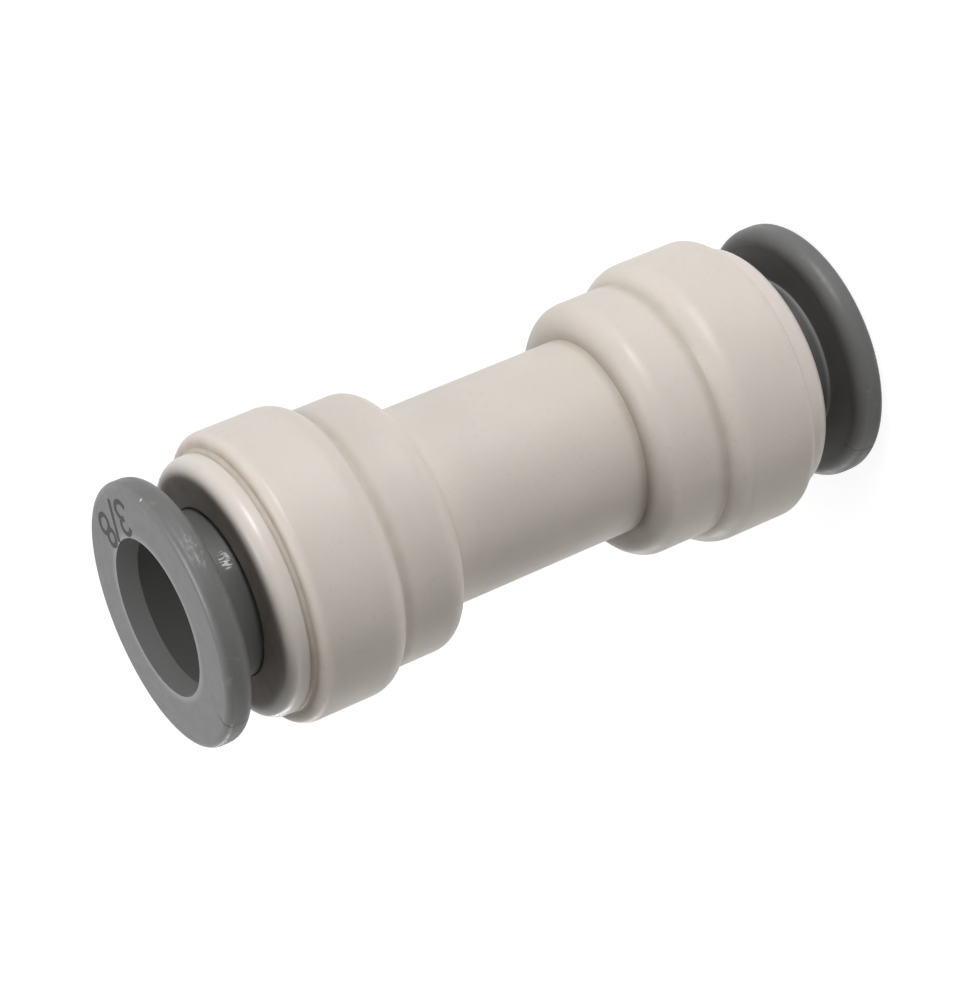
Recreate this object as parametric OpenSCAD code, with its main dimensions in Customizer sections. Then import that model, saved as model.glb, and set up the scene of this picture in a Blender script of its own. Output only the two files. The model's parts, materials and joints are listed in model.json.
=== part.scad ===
// Push-in union: joins two plastic tubes of the same size end to end, with no tools.
// The axis is Z and the two ends are alike. A station is a distance along the axis from the
// middle of the body, and every section is drawn with the radius along X and the station along Y.

/* [Tube] */
// Outside diameter of the tube that each end takes
tube_d = 9.525; // [6.35:0.025:12.7]
// Radial gap between the tube and the collet's bore
tube_gap = 0.04; // [0.02:0.01:0.12]
// Radial gap between the tube and its socket in the body
socket_gap = 0.09; // [0.05:0.01:0.2]

/* [Body] */
// Length of the plain middle, between the two steps
middle_len = 14.26; // [13:0.1:40]
// Length of the step that holds the seal
step_len = 4.59; // [4.2:0.1:8]
// Length of the collar that holds the collet
collar_len = 6.46; // [5.6:0.1:9]
// Wall of the plain middle
middle_wall = 1.66; // [1.2:0.02:3]
// Wall of the step, outside the seal
step_wall = 1.9; // [1.4:0.05:2.2]
// Wall of the collar, outside the end cap
collar_wall = 1.9; // [1.5:0.05:3]
// Rounding of the step's inner edge
step_round = 1.44; // [0.4:0.02:1.6]
// Rounding of the collar's inner edge
collar_round = 1.75; // [0.4:0.05:2]
// Rounding of the collar's outer end
collar_end_round = 0.7; // [0.2:0.05:0.9]
// Length of the narrow middle that both tubes stop against
stop_len = 6; // [2:0.5:10]
// Width of the ledge that a tube stops against
stop_ledge = 1.25; // [0.8:0.05:1.6]
// Thickness of the shoulder between the step and the end cap's seat
shoulder_t = 0.6; // [0.4:0.05:1]

/* [Seal] */
// Thickness of the O-ring
o_ring_t = 1.8; // [1.4:0.05:2]
// Room along the axis that the O-ring has to spread into
o_ring_room = 0.3; // [0.1:0.05:0.5]
// Length of the spacer ring's hub, behind the O-ring
spacer_hub_len = 1.3; // [0.9:0.05:1.5]
// Thickness of the spacer ring's flange
spacer_flange_t = 0.6; // [0.4:0.05:0.8]

/* [End cap] */
// Wall of the end cap's sleeve
sleeve_wall = 0.98; // [0.8:0.02:1.4]
// How far the lip stands out over the sleeve
lip_rise = 0.87; // [0.4:0.01:1.2]
// Length of the lip, out of the collar
lip_len = 1.8; // [1.4:0.05:3]
// Rounding of the lip's front edge
lip_round = 0.95; // [0.2:0.05:1.1]
// Rounding of the lip's back edge, next to the collar
lip_back_round = 0.4; // [0.05:0.05:0.5]
// Depth of the shallow dish in the end cap's front
dish_depth = 0.06; // [0.04:0.01:0.3]
// Height of the bead that snaps into the collar
bead_rise = 0.25; // [0.1:0.05:0.4]
// Length of the bead along the axis
bead_len = 1.1; // [0.8:0.05:1.6]
// Slope of the cone that closes the collet's fingers, from the axis
cam_angle = 23; // [18:1:30]

/* [Collet] */
// How far the collet can be pushed in
travel = 2; // [1.5:0.1:2.6]
// Gap that is left when the collet is pushed fully in
travel_gap = 0.2; // [0.1:0.05:0.3]
// Wall of the neck
neck_wall = 0.6; // [0.5:0.05:0.9]
// How far the finger heads stand out over the neck
head_rise = 1.05; // [0.7:0.05:1.2]
// Length of a finger head, before its cone starts
head_len = 0.6; // [0.5:0.05:0.9]
// Bevel of a finger head's inner edge
head_bevel = 0.35; // [0.1:0.05:0.4]
// How far the flange stands out over the neck
flange_rise = 3.18; // [2:0.02:4]
// Thickness of the flange
flange_t = 1.95; // [1.4:0.05:3]
// Rounding of the flange's front edge
flange_front_round = 0.5; // [0.2:0.05:0.7]
// Rounding of the flange's back edge
flange_back_round = 0.95; // [0.2:0.05:1]
// Widening of the bore at the mouth
mouth_rise = 0.32; // [0.1:0.02:0.5]
// Depth of the widened mouth
mouth_len = 1.3; // [0.6:0.05:2]
// Number of fingers
finger_count = 6; // [4:2:8]
// Width of the slots between the fingers
slot_w = 0.8; // [0.4:0.05:1]
// Length of the slots
slot_len = 3.6; // [2.4:0.1:3.8]

/* [Teeth] */
// Thickness of the steel strip
tooth_t = 0.25; // [0.15:0.01:0.3]
// Width of a tooth
tooth_w = 2.2; // [1:0.1:2.4]
// Height of the claw, from its tip to the bend
claw_h = 0.55; // [0.4:0.05:0.6]
// Lean of the claw towards the middle of the body
claw_angle = 35; // [15:5:45]
// Length of the strip's anchor in the finger
anchor_len = 1; // [0.6:0.05:1.1]
// Distance from the finger's end to the claw's tip
tooth_set = 0.45; // [0.35:0.05:0.6]

/* [Fits] */
// Radial gap between the collet's neck and the end cap
neck_gap = 0.08; // [0.05:0.01:0.1]
// Radial gap between the finger heads and the end cap's sleeve
head_gap = 0.15; // [0.1:0.01:0.3]
// Gap along the axis between the finger heads' cone and the end cap's cone
cam_gap = 0.1; // [0.05:0.01:0.2]
// Gap between pieces that are pressed or moulded together
seat_gap = 0.02; // [0.01:0.01:0.05]

/* [Hidden] */
$fn = 96;
slack = 0.5;
tube_r = tube_d / 2;
ends = ["upper", "lower"];

// Radii, from the tube outwards
bore_r = tube_r + tube_gap;
socket_r = tube_r + socket_gap;
waterway_r = socket_r - stop_ledge;
middle_r = socket_r + middle_wall;
seal_r = bore_r + o_ring_t + 2 * seat_gap;
step_r = seal_r + step_wall;
neck_r = bore_r + neck_wall;
land_r = neck_r + neck_gap;
head_r = neck_r + head_rise;
cavity_r = head_r + head_gap;
sleeve_r = cavity_r + sleeve_wall;
collar_bore_r = sleeve_r + seat_gap;
collar_r = collar_bore_r + collar_wall;
lip_r = sleeve_r + lip_rise;
flange_r = neck_r + flange_rise;
mouth_r = bore_r + mouth_rise;

// Stations, from the middle outwards
stop_s = stop_len / 2;
step_s = middle_len / 2;
collar_s = step_s + step_len;
collar_end_s = collar_s + collar_len;
front_s = collar_end_s + lip_len;
dish_s = front_s - dish_depth;
back_s = front_s + travel + travel_gap;
face_s = back_s + flange_t;

// Stations of the seal, inwards from the shoulder that the spacer ring sits on
seat_s = collar_s + shoulder_t;
hub_s = seat_s - spacer_hub_len;
groove_s = hub_s - o_ring_t - o_ring_room;
sleeve_s = seat_s + spacer_flange_t;

// Stations of the collet's fingers and of the cone that closes them
cam_slope = tan(cam_angle);
finger_s = sleeve_s + travel + travel_gap;
head_cone_s = finger_s + head_len;
neck_cone_s = head_cone_s + head_rise / cam_slope;
cam_in_s = head_cone_s + cam_gap - head_gap / cam_slope;
cam_out_s = cam_in_s + (cavity_r - land_r) / cam_slope;
slot_end_s = finger_s + slot_len;

// Place of the bead on the end cap's sleeve
bead_s = (sleeve_s + collar_end_s) / 2;

// Small bevels that lead the tube and the seal in
socket_bevel = 0.35;
cap_bevel = 0.3;

// A rectangle of a section, from one radius and station to another
module span(r0, r1, s0, s1) {
    translate([r0, s0]) square([r1 - r0, s1 - s0]);
}

// What rounding takes off an outer edge; toward is 1 where the piece lies at greater stations
module edge_round(r, s, size, toward) {
    difference() {
        translate([r - size, toward > 0 ? s - slack : s - size]) square(size + slack);
        translate([r - size, s + toward * size]) circle(size);
    }
}

// A solid rectangle of a section, from the axis outwards, with its two outer edges rounded
module rounded_span(r, s0, s1, round0, round1) {
    difference() {
        span(0, r, s0, s1);
        edge_round(r, s0, round0, 1);
        edge_round(r, s1, round1, -1);
    }
}

// A bevel at the mouth of a bore, which opens outwards
module mouth_bevel(r, s, size) {
    polygon([[0, s - size], [r, s - size], [r + size + slack, s + slack], [0, s + slack]]);
}

// Draws a section and its mirror image at the other end
module both_ends() {
    children();
    mirror([0, 1]) children();
}

// The bead on the end cap's sleeve, also cut from the collar with a gap around it
module bead_section(gap) {
    rise = bead_rise + gap;
    half = bead_len / 2 + gap;
    polygon([
        [sleeve_r - slack, bead_s - half], [sleeve_r, bead_s - half],
        [sleeve_r + rise, bead_s + half - rise], [sleeve_r + rise, bead_s + half],
        [sleeve_r - slack, bead_s + half]
    ]);
}

// Outside of the body
module body_outline() {
    span(0, middle_r, -step_s - step_round, step_s + step_round);
    both_ends() {
        difference() {
            span(0, step_r, step_s, collar_s + collar_round);
            edge_round(step_r, step_s, step_round, 1);
        }
        rounded_span(collar_r, collar_s, collar_end_s, collar_round, collar_end_round);
    }
}

// Tube sockets, seal chambers and end cap seats of the body
module body_hollow() {
    span(0, waterway_r, -stop_s - slack, stop_s + slack);
    both_ends() {
        span(0, socket_r, stop_s, groove_s + slack);
        mouth_bevel(socket_r, groove_s, socket_bevel);
        span(0, seal_r, groove_s, seat_s + slack);
        span(0, collar_bore_r, seat_s, collar_end_s + slack);
        mouth_bevel(collar_bore_r, collar_end_s, cap_bevel);
        bead_section(seat_gap);
    }
}

module body() {
    color([0.84, 0.81, 0.77])
        rotate_extrude()
            difference() {
                body_outline();
                body_hollow();
            }
}

// Moulded cap: a sleeve in the collar, a cone that closes the collet, and the lip outside
module end_cap() {
    color([0.87, 0.85, 0.82])
        rotate_extrude()
            difference() {
                union() {
                    span(0, sleeve_r, sleeve_s, collar_end_s + slack);
                    bead_section(0);
                    rounded_span(lip_r, collar_end_s, front_s, lip_back_round, lip_round);
                }
                span(0, cavity_r, sleeve_s - slack, cam_in_s);
                polygon([[0, cam_in_s], [cavity_r, cam_in_s], [land_r, cam_out_s], [0, cam_out_s]]);
                span(0, land_r, cam_out_s - slack, front_s + slack);
                polygon([
                    [0, dish_s], [land_r, dish_s], [lip_r - lip_round - dish_depth, front_s],
                    [lip_r - lip_round - dish_depth, front_s + slack], [0, front_s + slack]
                ]);
            }
}

// Outside of the collet: finger heads with their cone, neck and flange
module collet_outline() {
    span(0, neck_r, finger_s, back_s + slack);
    polygon([
        [0, finger_s], [head_r - head_bevel, finger_s], [head_r, finger_s + head_bevel],
        [head_r, head_cone_s], [neck_r, neck_cone_s], [0, neck_cone_s]
    ]);
    rounded_span(flange_r, back_s, face_s, flange_back_round, flange_front_round);
}

// Slots that part the fingers, each with a round end
module finger_slots() {
    for (i = [0:finger_count / 2 - 1])
        rotate([0, 0, i * 360 / finger_count]) {
            translate([-flange_r, -slot_w / 2, finger_s - slack])
                cube([2 * flange_r, slot_w, slot_end_s - slot_w / 2 - finger_s + slack]);
            translate([-flange_r, 0, slot_end_s - slot_w / 2])
                rotate([0, 90, 0]) cylinder(d = slot_w, h = 2 * flange_r);
        }
}

// One tooth as a bent strip, or with a gap the pocket for it. The claw leans towards the
// middle of the body, so that a pull on the tube drives it deeper.
module tooth_blank(gap) {
    tip_s = finger_s + tooth_set;
    bend_s = tip_s + claw_h * tan(claw_angle);
    strip = tooth_t / cos(claw_angle);
    rotate([90, 0, 0])
        translate([bore_r, 0, -tooth_w / 2 - gap])
            linear_extrude(tooth_w + 2 * gap) {
                polygon([
                    [-slack, tip_s - gap - slack * tan(claw_angle)],
                    [claw_h + tooth_t + gap, bend_s + tooth_t * tan(claw_angle) - gap],
                    [claw_h + tooth_t + gap, bend_s + strip + gap],
                    [claw_h, bend_s + strip + gap],
                    [-slack, tip_s + strip + gap - slack * tan(claw_angle)]
                ]);
                translate([claw_h - gap, bend_s + strip / 2])
                    square([tooth_t + 2 * gap, anchor_len - strip / 2 + gap]);
            }
}

// Turns a tooth or its pocket to the middle of finger i
module at_finger(i) {
    rotate([0, 0, (i - 0.5) * 360 / finger_count]) children();
}

module collet() {
    color([0.42, 0.42, 0.41])
        difference() {
            rotate_extrude()
                difference() {
                    collet_outline();
                    span(0, bore_r, finger_s - slack, face_s + slack);
                    polygon([
                        [0, face_s - mouth_len], [bore_r, face_s - mouth_len],
                        [mouth_r, face_s], [mouth_r, face_s + slack], [0, face_s + slack]
                    ]);
                }
            finger_slots();
            for (i = [1:finger_count]) at_finger(i) tooth_blank(seat_gap);
        }
}

// Stamped steel tooth; its edge follows the tube
module collet_tooth(i) {
    color([0.75, 0.76, 0.78])
        difference() {
            at_finger(i) tooth_blank(0);
            translate([0, 0, finger_s - slack]) cylinder(r = bore_r, h = head_len + slack + slot_len);
        }
}

module o_ring() {
    color([0.08, 0.08, 0.08])
        rotate_extrude()
            translate([bore_r + seat_gap + o_ring_t / 2, (groove_s + hub_s) / 2])
                circle(o_ring_t / 2);
}

// Keeps the O-ring in its chamber and off the fingers; the end cap's sleeve holds its flange
module spacer_ring() {
    color([0.9, 0.9, 0.88])
        rotate_extrude()
            difference() {
                union() {
                    span(socket_r, seal_r - seat_gap, hub_s, seat_s + spacer_flange_t / 2);
                    span(socket_r, collar_bore_r - seat_gap, seat_s, sleeve_s);
                }
                mouth_bevel(socket_r, sleeve_s, socket_bevel);
            }
}

// Puts a piece of the upper end at either end
module at_end(end) {
    if (end == "upper") children();
    else mirror([0, 0, 1]) children();
}

body();
for (end = ends) at_end(end) {
    end_cap();
    collet();
    for (i = [1:finger_count])
        collet_tooth(i);
    o_ring();
    spacer_ring();
}
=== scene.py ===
"""Looks of a push-in union that joins two tubes: a stepped moulded body with a glossy cap, a grey
release collet, steel teeth, a seal and a spacer ring at each end. Lengths are in metres, and the
axis is Z. A station is a distance along the axis from the middle of the body."""
import json
import math

import bmesh
import bpy
from mathutils import Matrix, Vector


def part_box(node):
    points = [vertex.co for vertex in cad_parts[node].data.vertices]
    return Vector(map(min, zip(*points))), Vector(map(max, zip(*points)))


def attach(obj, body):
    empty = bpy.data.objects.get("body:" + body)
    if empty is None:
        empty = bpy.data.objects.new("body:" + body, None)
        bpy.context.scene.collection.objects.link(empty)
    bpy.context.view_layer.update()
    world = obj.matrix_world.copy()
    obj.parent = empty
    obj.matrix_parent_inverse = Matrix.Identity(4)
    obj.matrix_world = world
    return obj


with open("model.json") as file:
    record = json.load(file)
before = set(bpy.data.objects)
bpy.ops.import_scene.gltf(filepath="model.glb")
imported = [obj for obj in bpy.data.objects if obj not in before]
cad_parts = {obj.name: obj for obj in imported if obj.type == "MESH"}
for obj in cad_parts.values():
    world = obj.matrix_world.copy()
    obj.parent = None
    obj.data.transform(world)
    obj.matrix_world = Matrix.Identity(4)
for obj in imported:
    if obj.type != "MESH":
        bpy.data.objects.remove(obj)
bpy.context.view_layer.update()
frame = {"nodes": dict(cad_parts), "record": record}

MM = 0.001
UM = 0.001 * MM
ENDS = {"upper": 1, "lower": -1}

# Places that the finishes and marks use, all from the frame
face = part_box("upper_collet")[1].z
flange_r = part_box("upper_collet")[1].x
cap_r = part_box("upper_end_cap")[1].x
collar_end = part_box("body")[1].z
body_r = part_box("body")[1].x
floor_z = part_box("lower_collet")[0].z
bore_r = next(mount["dims"]["r_mm"] * MM for mount in frame["record"]["mounts"]
              if mount["name"] == "upper_tube_bore")

# The photograph's view
CAMERA_AT = Vector((0, -203.99, 93.45)) * MM
CAMERA_AIM = Vector((-0.724, 0, 0.712)) * MM
CAMERA_UP = Vector((0.9219, -0.1576, -0.3539))
SENSOR = 36
LENS = 131.39


def aimed(at, towards, up=Vector((0, 0, 1))):
    """Matrix of a camera or lamp at a place, looking towards a point."""
    back = (at - towards).normalized()
    right = up.cross(back).normalized()
    turn = Matrix((right, back.cross(right), back)).transposed()
    return Matrix.Translation(at) @ turn.to_4x4()


def add_object(name, data):
    made = bpy.data.objects.new(name, data)
    bpy.context.scene.collection.objects.link(made)
    return made


def make_camera():
    lens = bpy.data.cameras.new("camera")
    lens.sensor_width = SENSOR
    lens.lens = LENS
    lens.clip_start = 0.01
    camera = add_object("camera", lens)
    camera.matrix_world = aimed(CAMERA_AT, CAMERA_AIM, CAMERA_UP)
    bpy.context.scene.camera = camera


class Finish:
    """The nodes of one material, with short calls for what every finish uses."""

    def __init__(self, name):
        self.material = bpy.data.materials.new(name)
        self.material.use_nodes = True
        self.tree = self.material.node_tree
        self.shader = self.tree.nodes["Principled BSDF"]
        self.place = self.node("ShaderNodeTexCoord").outputs["Object"]
        xyz = self.node("ShaderNodeSeparateXYZ", {"Vector": self.place}).outputs
        self.x, self.y, self.z = xyz["X"], xyz["Y"], xyz["Z"]
        self.station = self.math("ABSOLUTE", self.z)
        across = self.math("ADD", self.math("POWER", self.x, 2.0), self.math("POWER", self.y, 2.0))
        self.radius = self.math("SQRT", across)
        self.angle = self.math("ARCTAN2", self.y, self.x)

    def node(self, kind, inputs=None, **settings):
        made = self.tree.nodes.new(kind)
        for key, value in settings.items():
            setattr(made, key, value)
        for key, value in (inputs or {}).items():
            self.feed(made.inputs[key], value)
        return made

    def feed(self, socket, value):
        if isinstance(value, bpy.types.NodeSocket):
            self.tree.links.new(value, socket)
        else:
            socket.default_value = value

    def set(self, **values):
        """Sets the shader's own sockets; an underscore stands for a space."""
        for key, value in values.items():
            self.feed(self.shader.inputs[key.replace("_", " ")], value)

    def math(self, operation, a, b=0.0):
        return self.node("ShaderNodeMath", {0: a, 1: b}, operation=operation).outputs[0]

    def noise_at(self, place, detail, rough=0.5):
        made = self.node("ShaderNodeTexNoise", {"Vector": place, "Scale": 1.0, "Detail": detail,
                                                "Roughness": rough})
        return made.outputs[0]

    def noise(self, size, detail=2.0, rough=0.5, stretch=(1, 1, 1), seed=0.0):
        """Soft noise whose blobs are about size across, drawn out along the axes by stretch."""
        shift = (seed, seed * 0.7, seed * 1.3)
        scale = tuple(1 / (size * s) for s in stretch)
        put = self.node("ShaderNodeMapping",
                        {"Vector": self.place, "Location": shift, "Scale": scale})
        return self.noise_at(put.outputs[0], detail, rough)

    def unrolled_noise(self, round_size, along_size, detail=2.0, seed=0.0):
        """Noise on the surface unrolled round the axis, with its own size each way."""
        around = self.math("MULTIPLY", self.angle, self.radius)
        flat = self.node("ShaderNodeCombineXYZ", {
            "X": self.math("DIVIDE", around, round_size),
            "Y": self.math("DIVIDE", self.z, along_size),
            "Z": seed,
        })
        return self.noise_at(flat.outputs[0], detail)

    def clouds(self, size, low=0.0, high=1.0, **kind):
        """Noise whose usual range, 0.3 to 0.7, is spread over the whole way from low to high."""
        return self.fade(self.noise(size, **kind), 0.3, 0.7, low, high)

    def fade(self, value, start, end, low=0.0, high=1.0):
        """Goes smoothly from low at start to high at end, and stays there."""
        if start > end:
            start, end, low, high = end, start, high, low
        made = self.node("ShaderNodeMapRange", {"Value": value, "From Min": start, "From Max": end,
                                                "To Min": low, "To Max": high},
                         interpolation_type="SMOOTHSTEP")
        return made.outputs[0]

    def near(self, value, middle, reach):
        """1 where the value is at middle, down to 0 at reach from it."""
        apart = self.math("ABSOLUTE", self.math("SUBTRACT", value, middle))
        return self.fade(apart, 0, reach, 1, 0)

    def spot(self, angle, spread, place, reach):
        """An oval spot: 1 in its middle, 0 at spread degrees round the axis or reach along it."""
        around = self.near(self.angle, math.radians(angle), math.radians(spread))
        return self.times(around, self.near(self.z, place, reach))

    def times(self, *values):
        product = values[0]
        for value in values[1:]:
            product = self.math("MULTIPLY", product, value)
        return product

    def mix(self, factor, a, b):
        mixed = self.node("ShaderNodeMix", {"Factor": factor, "A": a, "B": b}, data_type="RGBA")
        return mixed.outputs["Result"]

    def mix_value(self, factor, a, b):
        mixed = self.node("ShaderNodeMix", {"Factor": factor, "A": a, "B": b}, data_type="FLOAT")
        return mixed.outputs["Result"]

    def relief(self, *layers):
        """Bump from pairs of a height, 0 to 1, and the real depth that 1 stands for."""
        normal = None
        for height, depth in layers:
            inputs = {"Height": height, "Distance": depth, "Strength": 1.0}
            if normal is not None:
                inputs["Normal"] = normal
            normal = self.node("ShaderNodeBump", inputs).outputs[0]
        self.feed(self.shader.inputs["Normal"], normal)


def rgba(r, g, b):
    return (r, g, b, 1.0)


# Station and radius of the creases where the step rises from the tube, and the collar from the
# step, and how far their painted shade reaches along the axis and outwards
CREASES = ((7.13 * MM, 6.45 * MM), (11.72 * MM, 8.45 * MM))
SHADE_ALONG = 0.8 * MM
SHADE_OUT = 1.0 * MM


def body_painted_shade(f):
    """Share of painted shade on the body: on the collar's end round the lip, and in the creases.
    """
    end = f.times(f.fade(f.radius, body_r - 0.05 * MM, body_r - 0.75 * MM),
                  f.fade(f.station, collar_end - 0.6 * MM, collar_end - 0.1 * MM))
    creases = [f.times(f.near(f.station, station, SHADE_ALONG),
                       f.fade(f.radius, radius + SHADE_OUT, radius)) for station, radius in CREASES]
    painted_shade = f.math("ADD", f.times(end, 0.86), f.times(f.math("ADD", *creases), 0.5))
    patchy = f.fade(f.noise(1.5 * MM, detail=4, seed=6), 0.25, 0.75, 0.7, 1.0)
    return f.times(painted_shade, patchy)


def body_plastic():
    """Warm off-white satin plastic with a faint cloud, specks, painted shade in the creases and on
    the collar's end, and a fine moulded grain."""
    f = Finish("body_plastic")
    cloud = f.clouds(7 * MM, detail=3)
    colour = f.mix(cloud, rgba(0.708, 0.650, 0.588), rgba(0.742, 0.683, 0.622))
    speck = f.fade(f.noise(0.45 * MM, detail=1, seed=4), 0.66, 0.74)
    colour = f.mix(f.times(speck, 0.10), colour, rgba(0.45, 0.38, 0.31))
    # painted shade: the creases and the collar's end by the lip darkened towards brown
    colour = f.mix(body_painted_shade(f), colour, rgba(0.38, 0.315, 0.245))
    grain = f.noise(0.22 * MM, detail=3, rough=0.6)
    flow = f.noise(2.6 * MM, detail=2, stretch=(1, 1, 2.5), seed=9)
    f.set(Base_Color=colour, Roughness=f.clouds(1.4 * MM, 0.40, 0.50, detail=3), IOR=1.47,
          Subsurface_Weight=0.18, Subsurface_Scale=0.6 * MM)
    f.relief((grain, 4 * UM), (flow, 25 * UM))
    return f.material


# How far in from the lip's outside the painted shade of the cap's recess starts, and is there in
# full
RECESS_START = 0.55 * MM
RECESS_FULL = 1.35 * MM


def cap_plastic():
    """The same plastic family in a smoother mould: whiter, with a soft gloss on the lip and a
    duller recess round the collet with painted shade."""
    f = Finish("cap_plastic")
    recess = f.fade(f.radius, cap_r - RECESS_START, cap_r - RECESS_FULL)
    # painted shade: the recess under the collet's flange darkened, patchily
    painted_shade = f.times(recess, f.fade(f.noise(1.6 * MM, detail=4, seed=8), 0.25, 0.75, 0.48, 0.70))
    cloud = f.clouds(5 * MM, detail=3, seed=2)
    colour = f.mix(cloud, rgba(0.738, 0.680, 0.628), rgba(0.758, 0.700, 0.650))
    colour = f.mix(painted_shade, colour, rgba(0.37, 0.31, 0.26))
    rough = f.mix_value(recess, f.clouds(0.9 * MM, 0.31, 0.36, detail=3), 0.6)
    f.set(Base_Color=colour, Roughness=rough, IOR=1.49, Subsurface_Weight=0.2,
          Subsurface_Scale=0.6 * MM)
    f.relief((f.noise(2.2 * MM, detail=1, seed=5), 5 * UM))
    return f.material


# Thickness of the collet's flange, and the depth of the band that its mould seam crosses
FLANGE_T = 1.95 * MM
SEAM_BAND = 2.2 * MM
# Marks on the upper collet that the photograph shows: angle and half-width in degrees, distance
# behind the face and half-length. The seam has only the first two
# The speck is a painted glint, and the neck's scratches are partly wear and partly a painted
# highlight
RIM_SCUFF = (-71, 15, 0.95 * MM, 0.75 * MM)
NECK_SCRATCH = (-73, 10, 3.5 * MM, 0.55 * MM)
RIM_GLINT = (-37, 1.0, 0.15 * MM, 0.13 * MM)
RIM_SEAM = (-153, 1.2)


def collet_tone_and_painted_light(f, front):
    """The collet's grey: lighter on the front, on the flange's back and in the bore, where the
    photograph has it lighter, and darker on the neck."""
    cloud = f.clouds(3.5 * MM, detail=3, seed=7)
    colour = f.mix(cloud, rgba(0.134, 0.134, 0.132), rgba(0.146, 0.146, 0.144))
    # painted light: the flange's back lighter
    back = f.times(f.fade(f.station, face - FLANGE_T + 0.2 * MM, face - FLANGE_T),
                   f.fade(f.radius, flange_r - 0.4 * MM, flange_r - 1.6 * MM))
    colour = f.mix(back, colour, rgba(0.215, 0.215, 0.213))
    # painted light: the front lighter
    colour = f.mix(front, colour, rgba(0.178, 0.178, 0.176))
    # painted light: the bore lighter
    bore_painted_light = f.fade(f.radius, bore_r + 0.9 * MM, bore_r + 0.3 * MM)
    colour = f.mix(bore_painted_light, colour, rgba(0.33, 0.33, 0.327))
    # painted shade: the neck darker
    neck = f.times(f.fade(f.station, face - FLANGE_T - 0.05 * MM, face - FLANGE_T - 0.4 * MM),
                   f.fade(f.radius, bore_r + 0.3 * MM, bore_r + 0.5 * MM))
    return f.mix(neck, colour, rgba(0.105, 0.105, 0.103))


def collet_wear_and_glints(f):
    """Share of the light marks: the rim's scuffs, the neck's scratches with a painted highlight,
    rubbed edges, and a speck that is a painted glint.
    """
    def mark(angle, spread, behind, reach):
        return f.spot(angle, spread, face - behind, reach)

    flake = f.fade(f.unrolled_noise(0.42 * MM, 0.2 * MM, detail=7, seed=2), 0.44, 0.66)
    scuff = f.times(f.fade(mark(*RIM_SCUFF), 0.1, 0.7), flake)
    dash = f.fade(f.unrolled_noise(0.09 * MM, 0.5 * MM, detail=3, seed=6), 0.44, 0.56)
    # the neck's scratches: wear, painted light grey as a painted highlight where they glint
    scratch_and_glint = f.times(f.fade(mark(*NECK_SCRATCH), 0.15, 0.5), dash)
    rub = f.times(f.fade(f.noise(1.2 * MM, detail=5, seed=3), 0.60, 0.76),
                  f.fade(f.radius, flange_r - 1.0 * MM, flange_r - 0.3 * MM))
    # painted glint: a small light speck on the rim's front edge
    speck = f.fade(mark(*RIM_GLINT), 0.2, 0.6)
    return f.math("MAXIMUM", f.math("MAXIMUM", f.times(scuff, 0.22), scratch_and_glint),
                  f.math("MAXIMUM", f.times(rub, 0.08), f.times(speck, 0.8)))


def collet_plastic():
    """Mid-grey satin plastic, smoother on the front, with painted light and shade, light marks, a
    painted glint and a mould seam.
    """
    f = Finish("collet_plastic")
    front = f.fade(f.station, face - 0.4 * MM, face - 0.04 * MM)
    light = collet_wear_and_glints(f)
    angle, spread = RIM_SEAM
    seam = f.times(f.near(f.angle, math.radians(angle), math.radians(spread)),
                   f.fade(f.station, face - SEAM_BAND - 0.2 * MM, face - SEAM_BAND),
                   f.fade(f.radius, flange_r - 1.2 * MM, flange_r - 0.8 * MM))
    colour = f.mix(light, collet_tone_and_painted_light(f, front), rgba(0.72, 0.72, 0.71))
    colour = f.mix(f.times(seam, 0.85), colour, rgba(0.04, 0.04, 0.04))
    rough = f.math("SUBTRACT", f.clouds(0.8 * MM, 0.44, 0.52, detail=3), f.times(front, 0.09))
    f.set(Base_Color=colour, Roughness=f.mix_value(light, rough, 0.3), IOR=1.48)
    f.relief((f.noise(0.18 * MM, detail=3, rough=0.6), 2 * UM),
             (f.noise(2.4 * MM, detail=1, seed=5), 5 * UM),
             (light, 5 * UM),
             (f.math("SUBTRACT", 1.0, seam), 8 * UM))
    return f.material


def tooth_steel():
    """Bright stamped stainless strip with fine roll lines."""
    f = Finish("tooth_steel")
    roll = f.noise(0.03 * MM, detail=3, stretch=(1, 1, 30))
    colour = f.mix(roll, rgba(0.55, 0.55, 0.54), rgba(0.70, 0.70, 0.69))
    f.set(Base_Color=colour, Metallic=1.0, Roughness=f.fade(roll, 0.2, 0.8, 0.22, 0.38))
    f.relief((roll, 1.5 * UM))
    return f.material


def seal_rubber():
    """Black rubber with a dusty bloom."""
    f = Finish("seal_rubber")
    bloom = f.noise(0.8 * MM, detail=4)
    colour = f.mix(f.fade(bloom, 0.35, 0.7), rgba(0.018, 0.018, 0.019), rgba(0.045, 0.044, 0.043))
    f.set(Base_Color=colour, Roughness=f.fade(bloom, 0.3, 0.7, 0.42, 0.62), IOR=1.5)
    f.relief((f.noise(0.12 * MM, detail=3), 4 * UM))
    return f.material


def spacer_plastic():
    """Plain white plastic, as the hidden spacer rings have."""
    f = Finish("spacer_plastic")
    cloud = f.clouds(2.5 * MM, detail=3)
    colour = f.mix(cloud, rgba(0.74, 0.74, 0.72), rgba(0.80, 0.80, 0.78))
    f.set(Base_Color=colour, Roughness=f.mix_value(cloud, 0.35, 0.45), IOR=1.49)
    f.relief((f.noise(0.2 * MM, detail=3), 3 * UM))
    return f.material


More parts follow.
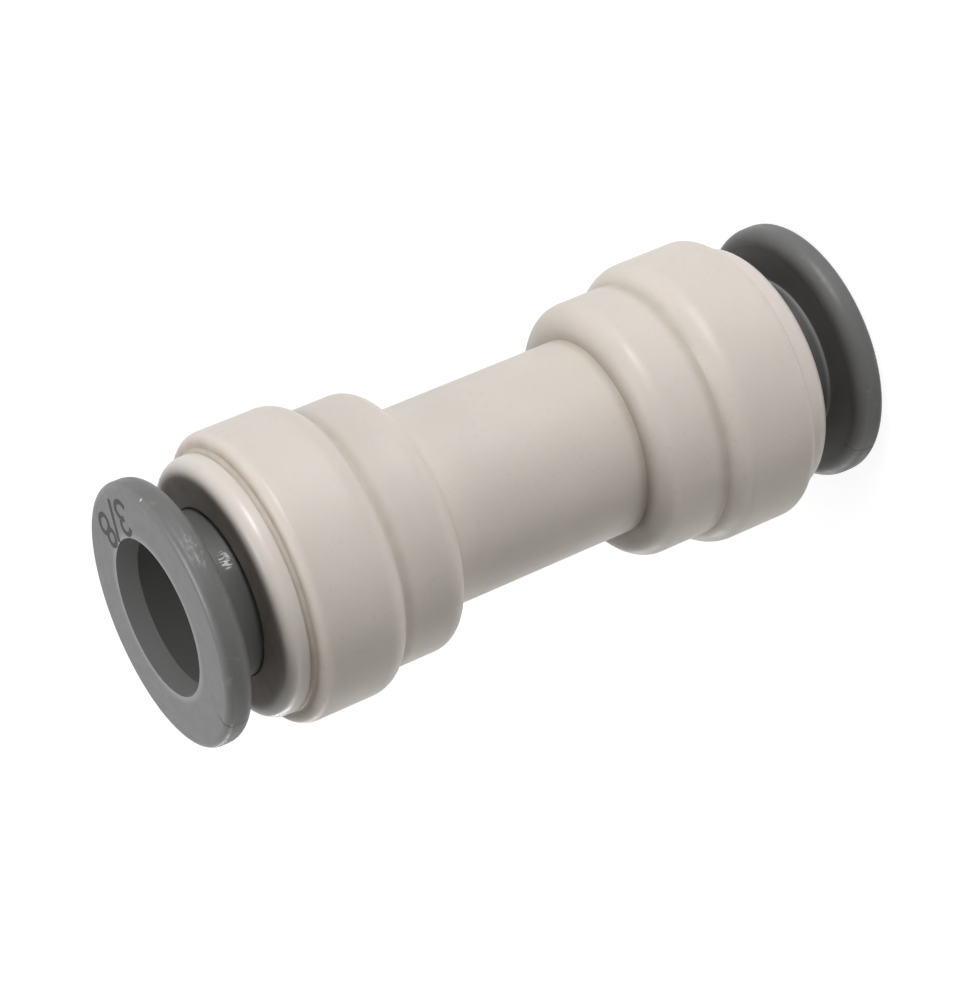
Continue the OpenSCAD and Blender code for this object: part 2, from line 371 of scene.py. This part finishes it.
def valley_plastic_painted_shade():
    """The plastic of the valley behind the lip, brown with painted shade, less so on its outside.
    """
    f = Finish("valley_plastic_painted_shade")
    patchy = f.clouds(0.9 * MM, detail=4, seed=3)
    # painted shade: brown in the valley, lighter towards its outside
    colour = f.mix(patchy, rgba(0.45, 0.39, 0.325), rgba(0.53, 0.465, 0.395))
    lighter_outside = f.fade(f.radius, cap_r - 0.1 * MM, cap_r + 0.15 * MM, 0.0, 0.35)
    colour = f.mix(lighter_outside, colour, rgba(0.70, 0.64, 0.58))
    f.set(Base_Color=colour, Roughness=f.mix_value(patchy, 0.5, 0.62), IOR=1.47)
    f.relief((f.noise(0.3 * MM, detail=3), 4 * UM))
    return f.material


def mark_plastic():
    """The digits on the collet's face: darker than its plastic, rough and uneven."""
    f = Finish("mark_plastic")
    patchy = f.noise(0.16 * MM, detail=3)
    colour = f.mix(f.fade(patchy, 0.3, 0.7), rgba(0.020, 0.019, 0.018), rgba(0.045, 0.043, 0.040))
    f.set(Base_Color=colour, Roughness=f.fade(patchy, 0.3, 0.7, 0.5, 0.7), IOR=1.48)
    f.relief((patchy, 8 * UM))
    return f.material


def paint_nodes():
    """Gives each CAD node the finish of its slot in the record."""
    makers = {
        "body_plastic": body_plastic, "cap_plastic": cap_plastic, "collet_plastic": collet_plastic,
        "tooth_steel": tooth_steel, "seal_rubber": seal_rubber, "spacer_plastic": spacer_plastic,
    }
    made = {}
    for part in frame["record"]["subparts"]:
        name = part["material_slot"]
        if name not in made:
            made[name] = makers[name]()
        shown = frame["nodes"][part["node"]]
        if not shown.material_slots:
            shown.data.materials.append(None)
        for held in shown.material_slots:
            held.material = made[name]


def swept_object(name, rows, loop, smooth=0):
    """An object whose skin joins each cross-section to the next, round a loop or from end to end.
    The faces on the first few sides of the section, as many as smooth says, are shaded smooth."""
    mesh = bmesh.new()
    rings = [[mesh.verts.new(corner) for corner in row] for row in rows]
    for one, two in zip(rings, rings[1:] + (rings[:1] if loop else [])):
        for i in range(len(one)):
            j = (i + 1) % len(one)
            made = mesh.faces.new((one[i], one[j], two[j], two[i]))
            made.smooth = i < smooth
    if not loop:
        mesh.faces.new(rings[0][::-1])
        mesh.faces.new(rings[-1])
    bmesh.ops.recalc_face_normals(mesh, faces=mesh.faces)
    data = bpy.data.meshes.new(name)
    mesh.to_mesh(data)
    mesh.free()
    return add_object(name, data)


# The cap's lip sits on the collar in a soft valley: the arc of a fillet between the lip's rounded
# back and the collar's end, with its foot sunk a little into the collar
VALLEY_R = 0.22 * MM
LIP_BACK_R = 0.4 * MM
VALLEY_SUNK = 5 * UM
# Steps along the arc and round the axis
VALLEY_STEPS = 8
VALLEY_ROUND = 160


def valley_section():
    """Radius and station of the corners of the fillet's section, the arc first."""
    lip_r = cap_r - LIP_BACK_R
    lip_z = collar_end + LIP_BACK_R
    middle_r = lip_r + math.sqrt((LIP_BACK_R + VALLEY_R) ** 2 - (LIP_BACK_R - VALLEY_R) ** 2)
    middle_z = collar_end + VALLEY_R
    start = math.atan2(lip_z - middle_z, lip_r - middle_r)
    end = 1.5 * math.pi
    turns = [start + (end - start) * i / VALLEY_STEPS for i in range(VALLEY_STEPS + 1)]
    curve = [(middle_r + VALLEY_R * math.cos(t), middle_z + VALLEY_R * math.sin(t))
             for t in turns]
    foot = collar_end - VALLEY_SUNK
    return curve + [(middle_r, foot), (lip_r, foot)]


def add_lip_valleys(finish):
    """Lays a fillet ring behind each cap's lip."""
    section = valley_section()
    turns = [2 * math.pi * i / VALLEY_ROUND for i in range(VALLEY_ROUND)]
    for end, side in ENDS.items():
        rows = [[(r * math.cos(t), r * math.sin(t), side * z) for r, z in section] for t in turns]
        ring = swept_object(end + "_lip_valley", rows, loop=True, smooth=VALLEY_STEPS)
        ring.data.materials.append(finish)
        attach(ring, "fitting")


# The size mark on each collet's face: digits with their heads towards the bore. These are in
# millimetres, because the union of the strokes is made at that scale
DIGIT_H = 2.1
DIGIT_W = 1.5
STROKE_W = 0.34
STROKE_PROUD = 0.012
STROKE_SUNK = 0.06
# A stroke runs on past its end points by this share of its width
STROKE_RUN_ON = 0.35
MARK_R = 6.4
# Degrees round the axis: from one digit to the next, and of the middle one
MARK_STEP = 15.5
MARK_TURN = 4
# Steps along a digit's open arcs and its closed loops
ARC_STEPS = 14
LOOP_STEPS = 24


def arc(middle, across, up, start, end, count=ARC_STEPS):
    """Points of an ellipse's arc, in degrees, in a digit's own box (width and height 1)."""
    turns = [math.radians(start + (end - start) * i / count) for i in range(count + 1)]
    return [(middle[0] + across * math.cos(t), middle[1] + up * math.sin(t)) for t in turns]


# Middles of a digit's lower and upper bowl
LOWER, UPPER = (0, 0.27), (0, 0.76)
GLYPHS = {
    "3": [arc(UPPER, 0.42, 0.24, 155, -90), arc(LOWER, 0.5, 0.27, 90, -155)],
    "slash": [[(-0.42, -0.05), (0.42, 1.05)]],
    "8": [arc(UPPER, 0.4, 0.24, 0, 360, LOOP_STEPS), arc(LOWER, 0.5, 0.27, 0, 360, LOOP_STEPS)],
}


def stroke_rows(points):
    """Cross-sections of a stroke, four corners each, along a line of points or round a loop."""
    points = [Vector((u * DIGIT_W, (v - 0.5) * DIGIT_H, 0)) for u, v in points]
    loop = (points[0] - points[-1]).length < STROKE_W / 10
    if loop:
        points.pop()
    low, high = Vector((0, 0, -STROKE_SUNK)), Vector((0, 0, STROKE_PROUD))
    last = len(points) - 1
    rows = []
    for i, point in enumerate(points):
        before = points[i - 1] if i or loop else points[0]
        after = points[(i + 1) % len(points)] if i < last or loop else points[last]
        along = (after - before).normalized()
        side = Vector((-along.y, along.x, 0)) * STROKE_W / 2
        end = 0 if loop or 0 < i < last else (1 if i else -1)
        middle = point + along * end * STROKE_W * STROKE_RUN_ON
        rows.append([middle + side + low, middle + side + high,
                     middle - side + high, middle - side + low])
    return rows, loop


def digit_object(name, strokes, place):
    """A digit from its strokes, put on the collet's face."""
    digit, *others = [swept_object(name, *stroke_rows(points)) for points in strokes]
    for other in others:
        join = digit.modifiers.new("join", "BOOLEAN")
        join.operation = "UNION"
        join.solver = "EXACT"
        join.object = other
    shown = digit.evaluated_get(bpy.context.evaluated_depsgraph_get())
    whole = bpy.data.meshes.new_from_object(shown)
    digit.modifiers.clear()
    digit.data = whole
    for other in others:
        bpy.data.objects.remove(other)
    whole.transform(place @ Matrix.Scale(MM, 4))
    return digit


def add_size_marks(finish):
    """Puts 3/8 on both collets' faces."""
    for end, side in ENDS.items():
        turned = Matrix.Rotation(math.pi, 4, "Y") if side < 0 else Matrix.Identity(4)
        for i, (glyph, strokes) in enumerate(GLYPHS.items()):
            at = MARK_TURN + (i - 1) * MARK_STEP
            place = (turned @ Matrix.Rotation(math.radians(at), 4, "Z")
                     @ Matrix.Translation((MARK_R * MM, 0, face))
                     @ Matrix.Rotation(math.pi / 2, 4, "Z"))
            digit = digit_object(f"{end}_mark_{glyph}", strokes, place)
            digit.data.materials.clear()
            digit.data.materials.append(finish)
            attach(digit, end + "_release")


# Studio: a pale floor under the standing union, soft lamps and a white background
FLOOR_REACH = 1.5
FLOOR_SEGMENTS = 96
# The floor's own colour for the light, and what the camera sees of it: a glow and some light
FLOOR_COLOUR = rgba(0.8, 0.8, 0.8)
FLOOR_SHOWN = rgba(0.3, 0.3, 0.3)
FLOOR_GLOW = 0.92
AMBIENT = 0.035
BACKGROUND = 1.0
LAMP_AWAY = 0.5
NEUTRAL = (1, 1, 1)
WARM = (1.0, 0.955, 0.89)
# Each lamp's name, azimuth and elevation from the union in degrees, width, height, power and
# colour. The low ones stand just above the floor's plane, which would hide them
LAMPS = [
    ("key_lamp", -47, -0.3, 0.18, 0.036, 1.5, NEUTRAL),
    ("top_lamp", -30, 80, 0.2, 0.2, 1.5, NEUTRAL),
    ("fill_lamp", -180, -1, 0.3, 0.03, 0.25, WARM),
    ("back_lamp", 128, -0.3, 0.3, 0.036, 0.42, NEUTRAL),
]


def seen_directly(tree):
    """1 for rays that come straight from the camera, a mirror or glass."""
    path = tree.nodes.new("ShaderNodeLightPath")
    either = path.outputs["Is Camera Ray"]
    for name in ("Is Glossy Ray", "Is Transmission Ray"):
        step = tree.nodes.new("ShaderNodeMath")
        step.operation = "MAXIMUM"
        tree.links.new(either, step.inputs[0])
        tree.links.new(path.outputs[name], step.inputs[1])
        either = step.outputs[0]
    return either


def make_world():
    world = bpy.data.worlds.new("studio")
    bpy.context.scene.world = world
    world.use_nodes = True
    tree = world.node_tree
    background = tree.nodes["Background"]
    background.inputs["Color"].default_value = rgba(1, 1, 1)
    strength = tree.nodes.new("ShaderNodeMapRange")
    strength.inputs["To Min"].default_value = AMBIENT
    strength.inputs["To Max"].default_value = BACKGROUND
    tree.links.new(seen_directly(tree), strength.inputs["Value"])
    tree.links.new(strength.outputs[0], background.inputs["Strength"])


def make_floor():
    """A pale floor that the camera sees as white, with the union's shadow kept."""
    mesh = bmesh.new()
    bmesh.ops.create_circle(mesh, cap_ends=True, segments=FLOOR_SEGMENTS, radius=FLOOR_REACH)
    data = bpy.data.meshes.new("floor")
    mesh.to_mesh(data)
    mesh.free()
    floor = add_object("floor", data)
    floor.location.z = floor_z
    material = bpy.data.materials.new("floor")
    material.use_nodes = True
    tree = material.node_tree
    tree.nodes.remove(tree.nodes["Principled BSDF"])
    lit = tree.nodes.new("ShaderNodeBsdfDiffuse")
    lit.inputs["Color"].default_value = FLOOR_COLOUR
    dim = tree.nodes.new("ShaderNodeBsdfDiffuse")
    dim.inputs["Color"].default_value = FLOOR_SHOWN
    glow = tree.nodes.new("ShaderNodeEmission")
    glow.inputs["Strength"].default_value = FLOOR_GLOW
    both = tree.nodes.new("ShaderNodeAddShader")
    pick = tree.nodes.new("ShaderNodeMixShader")
    tree.links.new(dim.outputs[0], both.inputs[0])
    tree.links.new(glow.outputs[0], both.inputs[1])
    tree.links.new(seen_directly(tree), pick.inputs[0])
    tree.links.new(lit.outputs[0], pick.inputs[1])
    tree.links.new(both.outputs[0], pick.inputs[2])
    tree.links.new(pick.outputs[0], tree.nodes["Material Output"].inputs["Surface"])
    data.materials.append(material)


def add_lamp(name, azimuth, elevation, width, height, power, colour):
    """A rectangular soft lamp that faces the union."""
    lamp = bpy.data.lights.new(name, "AREA")
    lamp.shape = "RECTANGLE"
    lamp.size = width
    lamp.size_y = height
    lamp.energy = power
    lamp.color = colour
    made = add_object(name, lamp)
    around, up = math.radians(azimuth), math.radians(elevation)
    flat = math.cos(up)
    away = Vector((flat * math.cos(around), flat * math.sin(around), math.sin(up)))
    made.matrix_world = aimed(away * LAMP_AWAY, Vector((0, 0, 0)))
    made.visible_camera = False


make_camera()
make_world()
make_floor()
for lamp in LAMPS:
    add_lamp(*lamp)
paint_nodes()
add_lip_valleys(valley_plastic_painted_shade())
add_size_marks(mark_plastic())

bpy.context.scene.view_settings.view_transform = "Standard"
